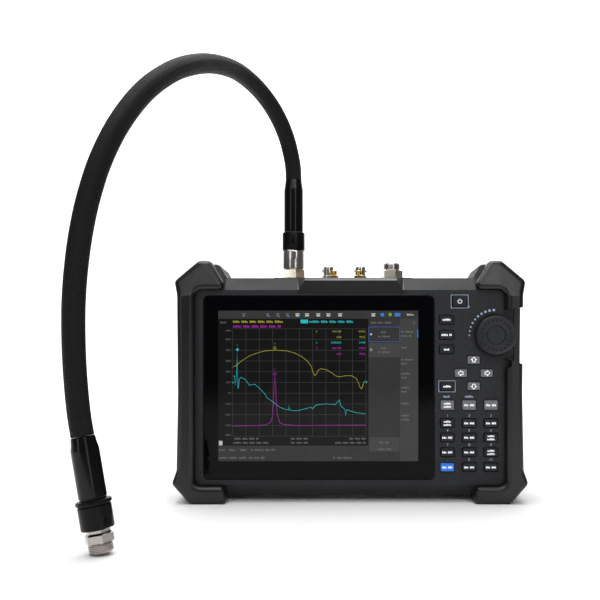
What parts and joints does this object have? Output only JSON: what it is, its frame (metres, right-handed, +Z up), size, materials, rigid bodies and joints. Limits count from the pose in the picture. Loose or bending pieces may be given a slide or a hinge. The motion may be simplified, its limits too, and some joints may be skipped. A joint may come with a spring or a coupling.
{
  "type": "handheld spectrum analyzer",
  "caption": "Handheld RF spectrum and network analyzer with a large screen, keypad, jog knob, rubber corner bumpers, top connectors and an armoured test cable.",
  "frame": {"origin": "centre of the footprint of the instrument's box, without the test cable, on the surface that its bumpers stand on", "axes": "+X to the right of the reader of the screen, which is the instrument's longest side; +Y away from the reader, from screen to back, its shortest side; +Z up"},
  "size_m": [0.3321, 0.2392, 0.3641],
  "materials": {
    "case_plastic": "fine grained moulded plastic, charcoal",
    "bumper_rubber": "matte dark grey moulded rubber",
    "badge_plastic": "smooth satin plastic, blank",
    "display_glass": "glossy black cover glass",
    "screen": "lit display behind the glass",
    "key_dark": "matte rubbery key, near black, white legend",
    "key_grey": "matte mid-grey key, white legend",
    "key_blue": "matte bright blue key",
    "knob_plastic": "satin charcoal plastic with a ribbed rim",
    "led_lens": "small clear lens",
    "connector_nickel": "bright nickel plate",
    "shaft_steel": "ground steel",
    "gold_plate": "gold plate",
    "sleeve_plastic": "semi-gloss black sleeve",
    "cable_braid": "black woven jacket over armour",
    "silicone": "translucent grey silicone",
    "circuit_board": "green solder mask",
    "shield_can": "stamped metal",
    "battery_wrap": null,
    "fan_plastic": "black moulded plastic"
  },
  "bodies": {
    "root": {"battery_cover": "case_plastic", "battery_pack": "battery_wrap", "bnc_1": "connector_nickel", "bnc_2": "connector_nickel", "connector_panel": "case_plastic", "display_glass": "display_glass", "encoder_body": "shield_can", "fan_frame": "fan_plastic", "far_collar": "sleeve_plastic", "far_connector": "connector_nickel", "far_sleeve": "sleeve_plastic", "front_case": "case_plastic", "key_membrane": "silicone", "keypad_board": "circuit_board", "lcd_module": "screen", "left_bumper": "bumper_rubber", "main_board": "circuit_board", "name_plate": "badge_plastic", "near_collar": "sleeve_plastic", "near_sleeve": "sleeve_plastic", "network_jack": "shield_can", "port_1": "connector_nickel", "port_2": "connector_nickel", "power_lamp": "led_lens", "rear_case": "case_plastic", "right_bumper": "bumper_rubber", "sma_1": "gold_plate", "sma_2": "gold_plate", "test_cable": "cable_braid", "usb_jack": "shield_can"},
    "coupling_nut": {"coupling_nut": "connector_nickel"},
    "encoder_plunger": {"encoder_plunger": "shaft_steel"},
    "fan_rotor": {"fan_rotor": "fan_plastic"},
    "jog_knob": {"jog_knob": "knob_plastic"},
    "key_arrow_down": {"key_arrow_down": "key_grey"},
    "key_arrow_left": {"key_arrow_left": "key_grey"},
    "key_arrow_right": {"key_arrow_right": "key_grey"},
    "key_arrow_up": {"key_arrow_up": "key_grey"},
    "key_bottom_left": {"key_bottom_left": "key_blue"},
    "key_bottom_middle": {"key_bottom_middle": "key_dark"},
    "key_bottom_right": {"key_bottom_right": "key_dark"},
    "key_calibrate": {"key_calibrate": "key_dark"},
    "key_format": {"key_format": "key_dark"},
    "key_function_left": {"key_function_left": "key_grey"},
    "key_function_middle": {"key_function_middle": "key_grey"},
    "key_function_right": {"key_function_right": "key_grey"},
    "key_lock": {"key_lock": "key_dark"},
    "key_lower_left": {"key_lower_left": "key_dark"},
    "key_lower_middle": {"key_lower_middle": "key_dark"},
    "key_lower_right": {"key_lower_right": "key_dark"},
    "key_measure": {"key_measure": "key_dark"},
    "key_power": {"key_power": "key_dark"},
    "key_top_left": {"key_top_left": "key_dark"},
    "key_top_middle": {"key_top_middle": "key_dark"},
    "key_top_right": {"key_top_right": "key_dark"},
    "key_upper_left": {"key_upper_left": "key_dark"},
    "key_upper_middle": {"key_upper_middle": "key_dark"},
    "key_upper_right": {"key_upper_right": "key_dark"},
    "kickstand": {"kickstand": "case_plastic"},
    "side_door": {"side_door": "bumper_rubber"}
  },
  "joints": [
    {"name": "press_power", "type": "slide", "parent": "root", "child": "key_power", "axis": [0, 1, 0], "range_m": [0, 0.001], "stiffness_N_per_m": 700},
    {"name": "press_measure", "type": "slide", "parent": "root", "child": "key_measure", "axis": [0, 1, 0], "range_m": [0, 0.001], "stiffness_N_per_m": 700},
    {"name": "press_format", "type": "slide", "parent": "root", "child": "key_format", "axis": [0, 1, 0], "range_m": [0, 0.001], "stiffness_N_per_m": 700},
    {"name": "press_calibrate", "type": "slide", "parent": "root", "child": "key_calibrate", "axis": [0, 1, 0], "range_m": [0, 0.001], "stiffness_N_per_m": 700},
    {"name": "press_lock", "type": "slide", "parent": "root", "child": "key_lock", "axis": [0, 1, 0], "range_m": [0, 0.001], "stiffness_N_per_m": 700},
    {"name": "press_arrow_up", "type": "slide", "parent": "root", "child": "key_arrow_up", "axis": [0, 1, 0], "range_m": [0, 0.001], "stiffness_N_per_m": 700},
    {"name": "press_arrow_left", "type": "slide", "parent": "root", "child": "key_arrow_left", "axis": [0, 1, 0], "range_m": [0, 0.001], "stiffness_N_per_m": 700},
    {"name": "press_arrow_right", "type": "slide", "parent": "root", "child": "key_arrow_right", "axis": [0, 1, 0], "range_m": [0, 0.001], "stiffness_N_per_m": 700},
    {"name": "press_arrow_down", "type": "slide", "parent": "root", "child": "key_arrow_down", "axis": [0, 1, 0], "range_m": [0, 0.001], "stiffness_N_per_m": 700},
    {"name": "press_function_left", "type": "slide", "parent": "root", "child": "key_function_left", "axis": [0, 1, 0], "range_m": [0, 0.001], "stiffness_N_per_m": 700},
    {"name": "press_function_middle", "type": "slide", "parent": "root", "child": "key_function_middle", "axis": [0, 1, 0], "range_m": [0, 0.001], "stiffness_N_per_m": 700},
    {"name": "press_function_right", "type": "slide", "parent": "root", "child": "key_function_right", "axis": [0, 1, 0], "range_m": [0, 0.001], "stiffness_N_per_m": 700},
    {"name": "press_top_left", "type": "slide", "parent": "root", "child": "key_top_left", "axis": [0, 1, 0], "range_m": [0, 0.001], "stiffness_N_per_m": 700},
    {"name": "press_top_middle", "type": "slide", "parent": "root", "child": "key_top_middle", "axis": [0, 1, 0], "range_m": [0, 0.001], "stiffness_N_per_m": 700},
    {"name": "press_top_right", "type": "slide", "parent": "root", "child": "key_top_right", "axis": [0, 1, 0], "range_m": [0, 0.001], "stiffness_N_per_m": 700},
    {"name": "press_upper_left", "type": "slide", "parent": "root", "child": "key_upper_left", "axis": [0, 1, 0], "range_m": [0, 0.001], "stiffness_N_per_m": 700},
    {"name": "press_upper_middle", "type": "slide", "parent": "root", "child": "key_upper_middle", "axis": [0, 1, 0], "range_m": [0, 0.001], "stiffness_N_per_m": 700},
    {"name": "press_upper_right", "type": "slide", "parent": "root", "child": "key_upper_right", "axis": [0, 1, 0], "range_m": [0, 0.001], "stiffness_N_per_m": 700},
    {"name": "press_lower_left", "type": "slide", "parent": "root", "child": "key_lower_left", "axis": [0, 1, 0], "range_m": [0, 0.001], "stiffness_N_per_m": 700},
    {"name": "press_lower_middle", "type": "slide", "parent": "root", "child": "key_lower_middle", "axis": [0, 1, 0], "range_m": [0, 0.001], "stiffness_N_per_m": 700},
    {"name": "press_lower_right", "type": "slide", "parent": "root", "child": "key_lower_right", "axis": [0, 1, 0], "range_m": [0, 0.001], "stiffness_N_per_m": 700},
    {"name": "press_bottom_left", "type": "slide", "parent": "root", "child": "key_bottom_left", "axis": [0, 1, 0], "range_m": [0, 0.001], "stiffness_N_per_m": 700},
    {"name": "press_bottom_middle", "type": "slide", "parent": "root", "child": "key_bottom_middle", "axis": [0, 1, 0], "range_m": [0, 0.001], "stiffness_N_per_m": 700},
    {"name": "press_bottom_right", "type": "slide", "parent": "root", "child": "key_bottom_right", "axis": [0, 1, 0], "range_m": [0, 0.001], "stiffness_N_per_m": 700},
    {"name": "knob_push", "type": "slide", "parent": "root", "child": "encoder_plunger", "axis": [0, 1, 0], "range_m": [0, 0.0006], "stiffness_N_per_m": 3000},
    {"name": "knob_turn", "type": "hinge", "parent": "encoder_plunger", "child": "jog_knob", "pos_m": [0.1235, -0.038, 0.143], "axis": [0, -1, 0], "continuous": true},
    {"name": "fan_spin", "type": "hinge", "parent": "root", "child": "fan_rotor", "pos_m": [0.084, 0.0175, 0.146], "axis": [0, 1, 0], "continuous": true},
    {"name": "nut_turn", "type": "hinge", "parent": "root", "child": "coupling_nut", "pos_m": [-0.051, 0.0105, 0.2127], "axis": [0, 0, 1], "continuous": true},
    {"name": "kickstand_swing", "type": "hinge", "parent": "root", "child": "kickstand", "pos_m": [0, 0.0354, 0.122], "axis": [1, 0, 0], "range_deg": [0, 50]},
    {"name": "side_door_swing", "type": "hinge", "parent": "root", "child": "side_door", "pos_m": [-0.1466, 0.02, 0.097], "axis": [0, 0, -1], "range_deg": [0, 100]}
  ]
}
